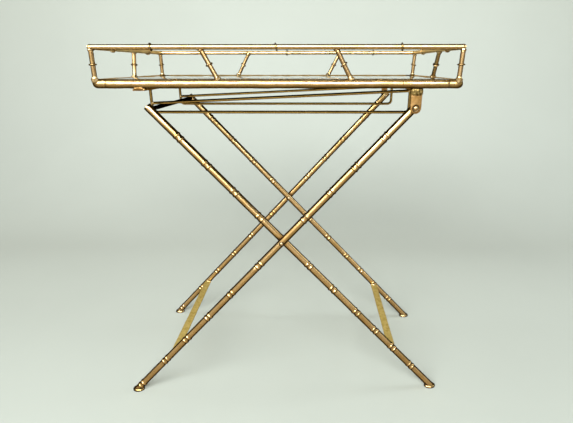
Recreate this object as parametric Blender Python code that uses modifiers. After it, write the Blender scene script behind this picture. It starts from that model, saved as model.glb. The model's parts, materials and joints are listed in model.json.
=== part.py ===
"""Folding tray table in brass: a railed tray with a glass top on a scissor base.

+X runs along the tray, +Y runs to its back, +Z is up, and the floor is z = 0.
The origin lies on the floor, midway between the four feet.
The outer pair of legs turns on two ears under the right of the tray.
The inner pair turns on the outer pair where the legs cross, and its slide bar
runs in two wire guides under the tray.
"""

from math import atan2, cos, hypot, pi, sin

import bmesh
import bpy
from mathutils import Vector

GAP = 0.0003                 # air between two pieces that touch

# Tray
TRAY_LENGTH = 0.5560         # outside the tubes, along X
TRAY_DEPTH = 0.312           # outside the tubes, along Y
TRAY_X = -0.0013             # middle of the tray
TUBE_RADIUS = 0.00675
TUBE_WALL = 0.001
TUBE_Z = 0.5712
ELBOW_RADIUS = 0.0080        # along the middle of the bent corner tube
ELBOW_STUB = 0.009           # straight end of a corner tube
RAIL_RADIUS = 0.00375
RAIL_LENGTH = 0.546          # outside the long rails, along X
RAIL_Z = 0.6224
POST_RADIUS = 0.0035
POST_INSET = 0.0036          # a corner post's axis from the outside of the rails
SPINDLE_X = 0.099            # middle of a front or rear spindle
REAR_LEFT_X = 0.093          # middle of the one that was set closer in
SPINDLE_LEAN = 0.0106        # half its lean along X
LEFT_SPINDLE_Y = 0.008       # middle of the left side's spindle
LEFT_LEAN = 0.005            # half its lean along Y
RIGHT_SPINDLE_Y = -0.0125
RIGHT_LEAN = 0.0125
GLASS_THICKNESS = 0.005
GLASS_Z = 0.577              # top of the glass
LEDGE_WIDTH = 0.010
LEDGE_THICKNESS = 0.002

# Scissor base
PIVOT_X = 0.208
PIVOT_Z = 0.5355
FOOT_X = 0.284               # where a leg's axis meets the top of its foot
LEG_RADIUS = 0.00635
LEG_WALL = 0.001
OUTER_LEG_Y = 0.1389
INNER_LEG_Y = 0.1246
OUTER_OVERHANG = 0.009       # tube above the pivot
INNER_OVERHANG = 0.0012      # tube above the point level with the pivot
SLIDE_BAR_DROP = 0.005       # slide bar below that point, along the leg
STRETCHER_FROM_FOOT = 0.118
STRETCHER_WIDTH = 0.014
STRETCHER_THICKNESS = 0.0025
SLIDE_BAR_RADIUS = 0.0035

# Rings that imitate bamboo nodes
RING_HEIGHT = 0.0011
RING_HALF_WIDTH = 0.0020
THIN_RING_HEIGHT = 0.0023    # on the gallery's rails, posts and spindles
THIN_RING_HALF_WIDTH = 0.0012
RING_PAIR_SPACING = 0.009
OUTER_LEG_NODES = (0.245, 0.180, 0.122, 0.060, -0.058, -0.135, -0.200, -0.264, -0.328, -0.404)
INNER_LEG_NODES = (0.241, 0.179, 0.116, 0.055, -0.068, -0.132, -0.197, -0.249, -0.300, -0.355)

# Fastenings and under-tray wires
RIVET_RADIUS = 0.0025
RIVET_HOLE = 0.0029
PIVOT_HEAD_RADIUS = 0.0055
CROSSING_HEAD_RADIUS = 0.0038
HEAD_HEIGHT = 0.0020
WASHER_RADIUS = 0.0050
WASHER_THICKNESS = 0.0010
STRAP_WIDTH = 0.018
STRAP_THICKNESS = 0.003
STRAP_HALF_LENGTH = 0.1525
EAR_RADIUS = 0.0083          # front ear's rounded lower end, and half its width
REAR_EAR_RADIUS = 0.0062     # the rear ear hides behind the leg
EAR_THICKNESS = 0.0025
GUIDE_Y = 0.083
GUIDE_LEFT_X = -0.2155       # middle of the loop's left upright
GUIDE_RIGHT_X = 0.2120
GUIDE_RADIUS = 0.0024
GUIDE_BOTTOM_Z = 0.5233
GUIDE_BEND = 0.007
CROSS_STRAP_INSET = 0.0075   # its middle from the left end of the guides
RAMP_RISE = 0.0200           # from its left end to its right end
FOOT_HEIGHT = 0.004
FOOT_WIDTH = 0.0158          # along Y
FOOT_RIM = 0.0021            # foot beyond the cut end of the leg, along X

TUBE_STEPS = 12

# Worked out from the above
LEG_RISE = PIVOT_Z - FOOT_HEIGHT
CROSSING_Z = FOOT_HEIGHT + LEG_RISE * FOOT_X / (PIVOT_X + FOOT_X)
LEG_ANGLE = atan2(LEG_RISE, PIVOT_X + FOOT_X)
UPPER_ARM = hypot(PIVOT_X, PIVOT_Z - CROSSING_Z)
LOWER_ARM = hypot(FOOT_X, CROSSING_Z - FOOT_HEIGHT)
OUTER_AXIS = Vector((cos(LEG_ANGLE), 0, sin(LEG_ANGLE)))
INNER_AXIS = Vector((-cos(LEG_ANGLE), 0, sin(LEG_ANGLE)))
PIVOT = Vector((PIVOT_X, 0, PIVOT_Z))
CROSSING = Vector((0, 0, CROSSING_Z))
SLIDE_BAR = CROSSING + INNER_AXIS * (UPPER_ARM - SLIDE_BAR_DROP)
TUBE_X = TRAY_LENGTH / 2 - TUBE_RADIUS
TUBE_Y = TRAY_DEPTH / 2 - TUBE_RADIUS
TUBE_TOP = TUBE_Z + TUBE_RADIUS
RAIL_BOTTOM = RAIL_Z - RAIL_RADIUS
STRAP_TOP = TUBE_Z - TUBE_RADIUS - GAP
STRAP_BOTTOM = STRAP_TOP - STRAP_THICKNESS
EAR_INNER_Y = OUTER_LEG_Y + LEG_RADIUS + GAP


def clear_scene():
    for item in list(bpy.data.objects):
        bpy.data.objects.remove(item, do_unlink=True)


def make_collection(name):
    collection = bpy.data.collections.new(name)
    bpy.context.scene.collection.children.link(collection)
    return collection


clear_scene()
PARTS = make_collection("brass_tray_table")
CUTTERS = make_collection("cutters")


def principled(name, colour, roughness, metallic=1.0, transmission=0.0):
    material = bpy.data.materials.new(name)
    material.use_nodes = True
    shader = material.node_tree.nodes["Principled BSDF"]
    shader.inputs["Base Color"].default_value = (*colour, 1.0)
    shader.inputs["Roughness"].default_value = roughness
    shader.inputs["Metallic"].default_value = metallic
    shader.inputs["Transmission Weight"].default_value = transmission
    material.diffuse_color = (*colour, 1.0)
    return material


AGED_BRASS = principled("aged_brass", (0.60, 0.42, 0.16), 0.28)
RAIL_BRASS = principled("rail_brass", (0.66, 0.48, 0.20), 0.25)
RAW_BRASS = principled("raw_brass", (0.66, 0.55, 0.24), 0.50)
DARK_BRASS = principled("dark_brass", (0.34, 0.25, 0.10), 0.35)
CLEAR_GLASS = principled("clear_glass", (0.86, 0.94, 0.91), 0.02, 0.0, 1.0)


def empty_on_axis(name, location, parent=None):
    empty = bpy.data.objects.new(name, None)
    empty.location = location
    if parent is not None:
        empty.parent = parent
        empty.location = location - parent.location
    PARTS.objects.link(empty)
    return empty


def put(item, material, location, axis=None, parent=None, origin=None):
    """Link a piece with its local Z along axis; origin is its parent's world place."""
    item.data.materials.append(material)
    PARTS.objects.link(item)
    item.location = Vector(location)
    if axis is not None:
        item.rotation_euler = Vector(axis).to_track_quat("Z", "Y").to_euler()
    if parent is not None:
        item.parent = parent
        item.location = Vector(location) - origin
    return item


def turned(name, profile, closed=False, steps=TUBE_STEPS):
    """A solid of revolution about local Z; profile is (radius, height), top to bottom."""
    count = len(profile)
    edges = [(index, index + 1) for index in range(count - 1)]
    if closed:
        edges.append((count - 1, 0))
    mesh = bpy.data.meshes.new(name)
    mesh.from_pydata([(radius, 0, height) for radius, height in profile], edges, [])
    item = bpy.data.objects.new(name, mesh)
    screw = item.modifiers.new("turn", "SCREW")
    screw.axis = "Z"
    screw.steps = steps
    screw.render_steps = steps
    screw.use_merge_vertices = True
    screw.merge_threshold = 0.00001
    return item


def ringed_side(top, bottom, radius, rings, ring_height, half_width):
    """The outer side of a tube or rod, top to bottom, with a raised ring at each height."""
    side = [(radius, top)]
    for height in sorted(rings, reverse=True):
        side.append((radius, height + half_width))
        side.append((radius + ring_height, height))
        side.append((radius, height - half_width))
    side.append((radius, bottom))
    return side


def tube(name, top, bottom, radius, wall, rings=(), height=THIN_RING_HEIGHT, half=THIN_RING_HALF_WIDTH):
    side = ringed_side(top, bottom, radius, rings, height, half)
    bore = [(radius - wall, bottom), (radius - wall, top)]
    return turned(name, side + bore, closed=True)


def rod(name, top, bottom, radius, rings=()):
    side = ringed_side(top, bottom, radius, rings, THIN_RING_HEIGHT, THIN_RING_HALF_WIDTH)
    return turned(name, [(0, top)] + side + [(0, bottom)])


def wire(name, points, radius):
    curve = bpy.data.curves.new(name, "CURVE")
    curve.dimensions = "3D"
    curve.bevel_depth = radius
    curve.bevel_resolution = 2
    curve.use_fill_caps = True
    spline = curve.splines.new("POLY")
    spline.points.add(len(points) - 1)
    for place, point in zip(spline.points, points):
        place.co = (*point, 1)
    return bpy.data.objects.new(name, curve)


def arc(centre, radius, start, end, steps, across=(1, 0, 0), up=(0, 0, 1)):
    points = []
    for index in range(steps + 1):
        angle = start + (end - start) * index / steps
        points.append(Vector(centre) + radius * (cos(angle) * Vector(across) + sin(angle) * Vector(up)))
    return points


def plate(name, outlines, thickness):
    """A flat piece from closed outlines in its local XY plane; a second outline is a hole."""
    curve = bpy.data.curves.new(name, "CURVE")
    curve.dimensions = "2D"
    curve.fill_mode = "BOTH"
    curve.extrude = thickness / 2
    for outline in outlines:
        spline = curve.splines.new("POLY")
        spline.points.add(len(outline) - 1)
        for place, point in zip(spline.points, outline):
            place.co = (point[0], point[1], 0, 1)
        spline.use_cyclic_u = True
    return bpy.data.objects.new(name, curve)


def box(name, size):
    mesh = bpy.data.meshes.new(name)
    shape = bmesh.new()
    bmesh.ops.create_cube(shape, size=1.0)
    bmesh.ops.scale(shape, vec=size, verts=shape.verts)
    shape.to_mesh(mesh)
    shape.free()
    return bpy.data.objects.new(name, mesh)


def as_cutter(item, location, axis=None):
    item.location = location
    if axis is not None:
        item.rotation_euler = Vector(axis).to_track_quat("Z", "Y").to_euler()
    item.hide_render = True
    item.display_type = "WIRE"
    CUTTERS.objects.link(item)
    return item


def cylinder_cutter(name, radius, length, location, axis):
    mesh = bpy.data.meshes.new(name)
    shape = bmesh.new()
    bmesh.ops.create_cone(shape, cap_ends=True, segments=16, radius1=radius, radius2=radius, depth=length)
    shape.to_mesh(mesh)
    shape.free()
    return as_cutter(bpy.data.objects.new(name, mesh), location, axis)


def combine(item, tool, operation="DIFFERENCE"):
    boolean = item.modifiers.new(operation.lower() + "_" + tool.name, "BOOLEAN")
    boolean.operation = operation
    boolean.solver = "EXACT"
    boolean.object = tool


# Tray frame

def lower_tubes():
    long_half = TUBE_X - ELBOW_RADIUS - ELBOW_STUB - GAP
    short_half = TUBE_Y - ELBOW_RADIUS - ELBOW_STUB - GAP
    for side, y in (("front", -TUBE_Y), ("rear", TUBE_Y)):
        piece = tube("tray_tube_" + side, long_half, -long_half, TUBE_RADIUS, TUBE_WALL)
        put(piece, AGED_BRASS, (TRAY_X, y, TUBE_Z), axis=(1, 0, 0))
    for side, x in (("left", -TUBE_X), ("right", TUBE_X)):
        piece = tube("tray_tube_" + side, short_half, -short_half, TUBE_RADIUS, TUBE_WALL)
        put(piece, AGED_BRASS, (TRAY_X + x, 0, TUBE_Z), axis=(0, 1, 0))


def corner_elbows():
    for row, y_sign in (("front", -1), ("rear", 1)):
        for side, x_sign in (("left", -1), ("right", 1)):
            path = [Vector((x_sign * ELBOW_RADIUS, -y_sign * ELBOW_STUB, 0))]
            path += arc((0, 0, 0), ELBOW_RADIUS, 0, pi / 2, 6, (x_sign, 0, 0), (0, y_sign, 0))
            path.append(Vector((-x_sign * ELBOW_STUB, y_sign * ELBOW_RADIUS, 0)))
            piece = wire("tray_elbow_" + row + "_" + side, path, TUBE_RADIUS)
            centre_x = TRAY_X + x_sign * (TUBE_X - ELBOW_RADIUS)
            put(piece, AGED_BRASS, (centre_x, y_sign * (TUBE_Y - ELBOW_RADIUS), TUBE_Z))


# Gallery

def mitre_cutter(name, corner, outward):
    """A block whose near face lies on the corner's 45 degree plane."""
    size = 0.020
    centre = Vector(corner) + Vector(outward).normalized() * (size / 2 - GAP / 2)
    return as_cutter(box(name, (size, size, size)), centre, outward)


def gallery_rails():
    rail_x = RAIL_LENGTH / 2 - RAIL_RADIUS
    rail_y = TRAY_DEPTH / 2 - RAIL_RADIUS
    long_rings = (-RAIL_LENGTH / 3, 0, RAIL_LENGTH / 3)
    short_rings = (-TRAY_DEPTH / 4, TRAY_DEPTH / 4)
    rails = {}
    for side, y in (("front", -rail_y), ("rear", rail_y)):
        half = rail_x + RAIL_RADIUS
        piece = tube("gallery_rail_" + side, half, -half, RAIL_RADIUS, TUBE_WALL, long_rings)
        rails[side] = put(piece, RAIL_BRASS, (TRAY_X, y, RAIL_Z), axis=(1, 0, 0))
    for side, x in (("left", -rail_x), ("right", rail_x)):
        half = rail_y + RAIL_RADIUS
        piece = tube("gallery_rail_" + side, half, -half, RAIL_RADIUS, TUBE_WALL, short_rings)
        rails[side] = put(piece, RAIL_BRASS, (TRAY_X + x, 0, RAIL_Z), axis=(0, 1, 0))
    for row, y_sign in (("front", -1), ("rear", 1)):
        for side, x_sign in (("left", -1), ("right", 1)):
            corner = (TRAY_X + x_sign * rail_x, y_sign * rail_y, RAIL_Z)
            place = row + "_" + side
            combine(rails[row], mitre_cutter("mitre_long_" + place, corner, (x_sign, -y_sign, 0)))
            combine(rails[side], mitre_cutter("mitre_short_" + place, corner, (-x_sign, y_sign, 0)))


def corner_posts():
    length = RAIL_BOTTOM - TUBE_TOP - 2 * GAP
    middle = (RAIL_BOTTOM + TUBE_TOP) / 2
    for row, y in (("front", POST_INSET - TRAY_DEPTH / 2), ("rear", TRAY_DEPTH / 2 - POST_INSET)):
        for side, x in (("left", POST_INSET - RAIL_LENGTH / 2), ("right", RAIL_LENGTH / 2 - POST_INSET)):
            piece = rod("gallery_post_" + row + "_" + side, length / 2, -length / 2, POST_RADIUS, (0,))
            put(piece, RAIL_BRASS, (TRAY_X + x, y, middle))


def leaning_spindles():
    """Each spindle leans down to the right, seen from outside its own side of the tray."""
    trim_size = (TRAY_LENGTH, TRAY_DEPTH, 0.020)
    above = as_cutter(box("trim_above", trim_size), (TRAY_X, 0, RAIL_BOTTOM - GAP + trim_size[2] / 2))
    below = as_cutter(box("trim_below", trim_size), (TRAY_X, 0, TUBE_TOP + GAP - trim_size[2] / 2))
    middle = (RAIL_BOTTOM + TUBE_TOP) / 2
    rise = RAIL_BOTTOM - TUBE_TOP
    places = (
        ("front_left", -SPINDLE_X, -TUBE_Y, -SPINDLE_LEAN, 0),
        ("front_right", SPINDLE_X, -TUBE_Y, -SPINDLE_LEAN, 0),
        ("rear_left", -REAR_LEFT_X, TUBE_Y, SPINDLE_LEAN, 0),
        ("rear_right", SPINDLE_X, TUBE_Y, SPINDLE_LEAN, 0),
        ("left", -TUBE_X, LEFT_SPINDLE_Y, 0, LEFT_LEAN),
        ("right", TUBE_X, RIGHT_SPINDLE_Y, 0, -RIGHT_LEAN),
    )
    for place, x, y, lean_x, lean_y in places:
        axis = Vector((2 * lean_x, 2 * lean_y, rise))
        half = axis.length / 2 + POST_RADIUS
        piece = rod("gallery_spindle_" + place, half, -half, POST_RADIUS, (0,))
        put(piece, RAIL_BRASS, (TRAY_X + x, y, middle), axis=axis)
        combine(piece, above)
        combine(piece, below)


# Glass and its ledges

def glass_top():
    half_x = TUBE_X - TUBE_RADIUS - GAP
    half_y = TUBE_Y - TUBE_RADIUS - GAP
    corner = 0.005
    outline = []
    for x_sign, y_sign, start in ((1, 1, 0), (-1, 1, pi / 2), (-1, -1, pi), (1, -1, 3 * pi / 2)):
        centre = (x_sign * (half_x - corner), y_sign * (half_y - corner), 0)
        outline += arc(centre, corner, start, start + pi / 2, 4, up=(0, 1, 0))
    piece = plate("glass_top", [outline], GLASS_THICKNESS)
    put(piece, CLEAR_GLASS, (TRAY_X, 0, GLASS_Z - GLASS_THICKNESS / 2))


def glass_ledges():
    z = GLASS_Z - GLASS_THICKNESS - GAP - LEDGE_THICKNESS / 2
    x = TUBE_X - TUBE_RADIUS - LEDGE_WIDTH / 2
    y = TUBE_Y - TUBE_RADIUS - LEDGE_WIDTH / 2
    long_size = (2 * x - LEDGE_WIDTH - 2 * GAP, LEDGE_WIDTH, LEDGE_THICKNESS)
    short_size = (LEDGE_WIDTH, 2 * y - LEDGE_WIDTH - 2 * GAP, LEDGE_THICKNESS)
    put(box("glass_ledge_front", long_size), RAW_BRASS, (TRAY_X, -y, z))
    put(box("glass_ledge_rear", long_size), RAW_BRASS, (TRAY_X, y, z))
    put(box("glass_ledge_left", short_size), RAW_BRASS, (TRAY_X - x, 0, z))
    put(box("glass_ledge_right", short_size), RAW_BRASS, (TRAY_X + x, 0, z))


# Straps, ears and guides under the tray

def cross_strap():
    size = (STRAP_WIDTH, 2 * STRAP_HALF_LENGTH, STRAP_THICKNESS)
    put(box("cross_strap", size), RAW_BRASS, (GUIDE_LEFT_X + CROSS_STRAP_INSET, 0, (STRAP_TOP + STRAP_BOTTOM) / 2))


def ear_solid(name, y, radius):
    """A hanging plate with a round lower end and a hole on the pivot's axis, as a mesh."""
    height = STRAP_BOTTOM + STRAP_THICKNESS / 2 - PIVOT_Z
    outline = arc((0, 0, 0), radius, pi, 2 * pi, 12, up=(0, 1, 0))
    outline += [Vector((radius, height, 0)), Vector((-radius, height, 0))]
    hole = arc((0, 0, 0), RIVET_HOLE, 0, 2 * pi * 15 / 16, 15, up=(0, 1, 0))
    flat = plate(name + "_outline", [outline, hole], EAR_THICKNESS)
    CUTTERS.objects.link(flat)
    flat.location = (PIVOT_X, y, PIVOT_Z)
    flat.rotation_euler = (pi / 2, 0, 0)
    bpy.context.view_layer.update()
    evaluated = flat.evaluated_get(bpy.context.evaluated_depsgraph_get())
    mesh = bpy.data.meshes.new_from_object(evaluated)
    shape = bmesh.new()
    shape.from_mesh(mesh)
    bmesh.ops.remove_doubles(shape, verts=shape.verts, dist=0.00001)
    shape.to_mesh(mesh)
    shape.free()
    solid = bpy.data.objects.new(name, mesh)
    solid.matrix_world = flat.matrix_world
    bpy.data.objects.remove(flat, do_unlink=True)
    solid.hide_render = True
    solid.display_type = "WIRE"
    CUTTERS.objects.link(solid)
    return solid


def hinge_strap():
    size = (STRAP_WIDTH, 2 * STRAP_HALF_LENGTH, STRAP_THICKNESS)
    strap = box("hinge_strap", size)
    put(strap, RAW_BRASS, (PIVOT_X, 0, (STRAP_TOP + STRAP_BOTTOM) / 2))
    middle = EAR_INNER_Y + EAR_THICKNESS / 2
    combine(strap, ear_solid("ear_front", -middle, EAR_RADIUS), "UNION")
    combine(strap, ear_solid("ear_rear", middle, REAR_EAR_RADIUS), "UNION")


def wire_guides():
    """Closed wire slots for the slide bar; the upper wire rises to the right, clear of the bar."""
    top = STRAP_BOTTOM - GAP
    left = GUIDE_LEFT_X + GUIDE_BEND
    right = GUIDE_RIGHT_X - GUIDE_BEND
    low = GUIDE_BOTTOM_Z + GUIDE_BEND
    ramp_left_z = SLIDE_BAR.z + SLIDE_BAR_RADIUS + GUIDE_RADIUS
    ramp_inset = GUIDE_RADIUS + GAP
    for side, y in (("front", -GUIDE_Y), ("rear", GUIDE_Y)):
        path = [Vector((GUIDE_LEFT_X, 0, top))]
        path += arc((left, 0, low), GUIDE_BEND, pi, 3 * pi / 2, 4)
        path += arc((right, 0, low), GUIDE_BEND, 3 * pi / 2, 2 * pi, 4)
        path.append(Vector((GUIDE_RIGHT_X, 0, top)))
        put(wire("guide_loop_" + side, path, GUIDE_RADIUS), DARK_BRASS, (0, y, 0))
        ramp = [
            Vector((GUIDE_LEFT_X + ramp_inset, 0, ramp_left_z)),
            Vector((GUIDE_RIGHT_X - ramp_inset, 0, ramp_left_z + RAMP_RISE)),
        ]
        put(wire("guide_ramp_" + side, ramp, GUIDE_RADIUS), DARK_BRASS, (0, y, 0))


# Base

def node_rings(nodes):
    half = RING_PAIR_SPACING / 2
    return [node + offset for node in nodes for offset in (-half, half)]


def leg_pair(pair, axis, leg_y, top, nodes, holes, floor_cutter, parent, origin):
    """Two tubes whose local Z runs up the leg from the crossing, cut level above their feet."""
    bottom = -LOWER_ARM - 2 * LEG_RADIUS
    rings = node_rings(nodes)
    for side, y in (("front", -leg_y), ("rear", leg_y)):
        name = pair + "_leg_" + side
        piece = tube(name, top, bottom, LEG_RADIUS, LEG_WALL, rings, RING_HEIGHT, RING_HALF_WIDTH)
        put(piece, AGED_BRASS, (0, y, CROSSING_Z), axis, parent, origin)
        combine(piece, floor_cutter)
        for hole in holes:
            place = CROSSING + axis * hole + Vector((0, y, 0))
            name = "hole_" + pair + "_" + side + ("_crossing" if hole == 0 else "_pivot")
            combine(piece, cylinder_cutter(name, RIVET_HOLE, 3 * LEG_RADIUS, place, (0, 1, 0)))


def feet(pair, axis, leg_y, parent, origin):
    """Oval pads under the level ends of the legs, rounded above and flat below."""
    half_width = FOOT_WIDTH / 2
    half_length = LEG_RADIUS / axis.z + FOOT_RIM
    profile = [
        (0, FOOT_HEIGHT),
        (half_width - 0.0018, FOOT_HEIGHT),
        (half_width - 0.0005, FOOT_HEIGHT - 0.0006),
        (half_width, FOOT_HEIGHT - 0.0018),
        (half_width - 0.0005, 0),
        (0, 0),
    ]
    x = -FOOT_X if axis.x > 0 else FOOT_X
    for side, y in (("front", -leg_y), ("rear", leg_y)):
        piece = turned(pair + "_foot_" + side, profile, steps=16)
        put(piece, AGED_BRASS, (x, y, 0), None, parent, origin)
        piece.scale.x = half_length / half_width


def stretcher(pair, axis, leg_y, parent, origin):
    size = (STRETCHER_WIDTH, 2 * (leg_y - LEG_RADIUS - RING_HEIGHT - GAP), STRETCHER_THICKNESS)
    place = CROSSING - axis * (LOWER_ARM - STRETCHER_FROM_FOOT)
    put(box(pair + "_stretcher", size), RAW_BRASS, place, None, parent, origin)


def slide_bar(parent, origin):
    half = INNER_LEG_Y - LEG_RADIUS - GAP
    piece = rod("slide_bar", half, -half, SLIDE_BAR_RADIUS)
    put(piece, DARK_BRASS, SLIDE_BAR, (0, 1, 0), parent, origin)


def rivet(name, y_outer, y_inner, head_radius, place, material, parent=None, origin=None):
    """A shank between two low domed heads; its local Z points away from the table."""
    length = y_outer - y_inner
    shoulder = head_radius * 0.75
    profile = [
        (0, length / 2 + HEAD_HEIGHT),
        (shoulder, length / 2 + HEAD_HEIGHT * 0.7),
        (head_radius, length / 2),
        (RIVET_RADIUS, length / 2),
        (RIVET_RADIUS, -length / 2),
        (head_radius, -length / 2),
        (shoulder, -length / 2 - HEAD_HEIGHT * 0.7),
        (0, -length / 2 - HEAD_HEIGHT),
    ]
    for side, sign in (("front", -1), ("rear", 1)):
        middle = Vector(place) + Vector((0, sign * (y_outer + y_inner) / 2, 0))
        piece = turned(name + "_" + side, profile)
        put(piece, material, middle, (0, sign, 0), parent, origin)


def crossing_washers(parent, origin):
    profile = [
        (WASHER_RADIUS, WASHER_THICKNESS / 2),
        (WASHER_RADIUS, -WASHER_THICKNESS / 2),
        (RIVET_HOLE, -WASHER_THICKNESS / 2),
        (RIVET_HOLE, WASHER_THICKNESS / 2),
    ]
    middle = (OUTER_LEG_Y + INNER_LEG_Y) / 2
    for side, y in (("front", -middle), ("rear", middle)):
        piece = turned("crossing_washer_" + side, profile, closed=True)
        put(piece, DARK_BRASS, (0, y, CROSSING_Z), (0, 1, 0), parent, origin)


def tray():
    lower_tubes()
    corner_elbows()
    gallery_rails()
    corner_posts()
    leaning_spindles()
    glass_top()
    glass_ledges()
    cross_strap()
    hinge_strap()
    wire_guides()
    outer_face = EAR_INNER_Y + EAR_THICKNESS + GAP
    inner_face = OUTER_LEG_Y - LEG_RADIUS - GAP
    rivet("pivot_rivet", outer_face, inner_face, PIVOT_HEAD_RADIUS, PIVOT, DARK_BRASS)


def base():
    outer = empty_on_axis("outer_legs_axis", PIVOT)
    inner = empty_on_axis("inner_legs_axis", CROSSING, outer)
    floor_size = (0.7, 0.4, 0.1)
    floor_cutter = as_cutter(box("floor_cut", floor_size), (0, 0, FOOT_HEIGHT + GAP - floor_size[2] / 2))
    outer_holes = (0, UPPER_ARM)
    top = UPPER_ARM + OUTER_OVERHANG
    leg_pair("outer", OUTER_AXIS, OUTER_LEG_Y, top, OUTER_LEG_NODES, outer_holes, floor_cutter, outer, PIVOT)
    feet("outer", OUTER_AXIS, OUTER_LEG_Y, outer, PIVOT)
    stretcher("outer", OUTER_AXIS, OUTER_LEG_Y, outer, PIVOT)
    outer_face = OUTER_LEG_Y + LEG_RADIUS + GAP
    inner_face = INNER_LEG_Y - LEG_RADIUS - GAP
    rivet("crossing_rivet", outer_face, inner_face, CROSSING_HEAD_RADIUS, CROSSING, DARK_BRASS, outer, PIVOT)
    crossing_washers(outer, PIVOT)
    top = UPPER_ARM + INNER_OVERHANG
    leg_pair("inner", INNER_AXIS, INNER_LEG_Y, top, INNER_LEG_NODES, (0,), floor_cutter, inner, CROSSING)
    feet("inner", INNER_AXIS, INNER_LEG_Y, inner, CROSSING)
    stretcher("inner", INNER_AXIS, INNER_LEG_Y, inner, CROSSING)
    slide_bar(inner, CROSSING)


tray()
base()
bpy.context.view_layer.update()
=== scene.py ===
import json
from math import cos, pi, radians, sin, sqrt
from random import Random

import bmesh
import bpy
from mathutils import Matrix, Vector, noise


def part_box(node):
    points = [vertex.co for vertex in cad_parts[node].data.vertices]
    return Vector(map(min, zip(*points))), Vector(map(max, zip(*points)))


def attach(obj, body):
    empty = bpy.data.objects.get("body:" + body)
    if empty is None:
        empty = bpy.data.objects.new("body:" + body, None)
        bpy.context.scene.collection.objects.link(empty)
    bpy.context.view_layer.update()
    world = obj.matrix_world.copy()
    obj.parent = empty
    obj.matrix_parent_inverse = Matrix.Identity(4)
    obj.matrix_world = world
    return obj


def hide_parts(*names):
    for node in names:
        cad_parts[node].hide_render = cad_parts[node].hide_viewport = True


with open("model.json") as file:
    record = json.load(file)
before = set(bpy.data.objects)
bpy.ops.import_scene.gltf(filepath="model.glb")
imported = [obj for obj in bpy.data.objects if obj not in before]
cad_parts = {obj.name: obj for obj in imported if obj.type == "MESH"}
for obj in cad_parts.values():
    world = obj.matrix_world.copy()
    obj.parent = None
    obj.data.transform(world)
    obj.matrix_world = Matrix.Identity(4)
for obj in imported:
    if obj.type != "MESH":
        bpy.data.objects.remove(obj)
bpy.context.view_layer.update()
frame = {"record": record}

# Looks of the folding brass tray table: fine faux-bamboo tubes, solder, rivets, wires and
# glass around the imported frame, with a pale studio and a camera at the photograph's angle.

X = Vector((1, 0, 0))
Y = Vector((0, 1, 0))
Z = Vector((0, 0, 1))

# Sizes in metres
LEG_RADIUS = 0.00635
LEG_WALL = 0.001
TUBE_RADIUS = 0.00675
TUBE_WALL = 0.001
RAIL_RADIUS = 0.00375
POST_RADIUS = 0.0035
WIRE_RADIUS = 0.0024
BAR_RADIUS = 0.0035
BEAD_HEIGHT = 0.0007
BEAD_HALF_WIDTH = 0.0019
BEAD_SPACING = 0.009
OUTER_NODES = (0.245, 0.180, 0.122, 0.060, -0.058, -0.135, -0.200, -0.264, -0.328, -0.404)
INNER_NODES = (0.241, 0.179, 0.116, 0.055, -0.068, -0.132, -0.197, -0.249, -0.300, -0.355)
BEAD_JITTER = 0.0005         # along the tube
BEAD_DIP = 0.00012           # depth of the dip on each side of a bead
TUBE_SEAM = 0.1876           # shallow bamboo seams of the front tube, from the middle
STRAP_SEAM = -0.2155
CHAMFER = 0.0003             # on the cut ends of tubes
ROUND = 40                   # points around a tube
FINE_STEP = 0.004            # between rings along a tube

# Hand-made unevenness: how far a surface stands out in metres, and how many lumps to a metre
TUBE_DENTS = (0.00042, 58.0)
RAIL_DENTS = (0.00006, 60.0)
POST_DENTS = (0.00010, 110.0)
LEG_DENTS = (0.00007, 90.0)
BAR_DENTS = (0.00006, 80.0)

# Places from the frame
JOINTS = {item["name"]: Vector(item["pos_m"]) for item in frame["record"]["behaviour"]["joints"]}
PIVOT = JOINTS["outer_leg_fold"]
CROSSING = JOINTS["inner_leg_fold"]
OUTER_UP = (PIVOT - CROSSING).normalized()
INNER_UP = Vector((-OUTER_UP.x, 0, OUTER_UP.z))


def middle(node):
    low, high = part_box(node)
    return (Vector(low) + Vector(high)) / 2


def low_corner(node):
    return Vector(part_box(node)[0])


def high_corner(node):
    return Vector(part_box(node)[1])


# Materials

def add(tree, kind, settings=None, inputs=None):
    """A shader node; inputs maps a socket's name or index to a value or to another socket."""
    item = tree.nodes.new(kind)
    for key, value in (settings or {}).items():
        setattr(item, key, value)
    for key, value in (inputs or {}).items():
        if isinstance(value, bpy.types.NodeSocket):
            tree.links.new(value, item.inputs[key])
        else:
            item.inputs[key].default_value = value
    return item


def blank_material(name):
    material = bpy.data.materials.new(name)
    material.use_nodes = True
    material.node_tree.nodes.clear()
    return material


def noise_value(tree, coordinates, scale, detail=4.0, distortion=0.0):
    item = add(tree, "ShaderNodeTexNoise", None, {
        "Vector": coordinates, "Scale": scale, "Detail": detail, "Distortion": distortion})
    return item.outputs["Fac"]


def spread(tree, value, low, high, to_low=0.0, to_high=1.0):
    item = add(tree, "ShaderNodeMapRange", {"clamp": True}, {
        "Value": value, "From Min": low, "From Max": high, "To Min": to_low, "To Max": to_high})
    return item.outputs["Result"]


def blend_colours(tree, factor, first, second):
    item = add(tree, "ShaderNodeMix", {"data_type": "RGBA"}, {0: factor, 6: first, 7: second})
    return item.outputs[2]


def calculate(tree, operation, first, second=0.0):
    item = add(tree, "ShaderNodeMath", {"operation": operation}, {0: first, 1: second})
    return item.outputs[0]


def dot(tree, first, second):
    item = add(tree, "ShaderNodeVectorMath", {"operation": "DOT_PRODUCT"}, {0: first, 1: second})
    return item.outputs["Value"]


def height_of(tree, vector):
    return add(tree, "ShaderNodeSeparateXYZ", None, {0: vector}).outputs["Z"]


def surface(tree, shader):
    """Send a shader to the material's output."""
    output = add(tree, "ShaderNodeOutputMaterial")
    tree.links.new(shader.outputs["BSDF"], output.inputs["Surface"])


def solid(colour):
    return (*colour, 1.0)


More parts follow.
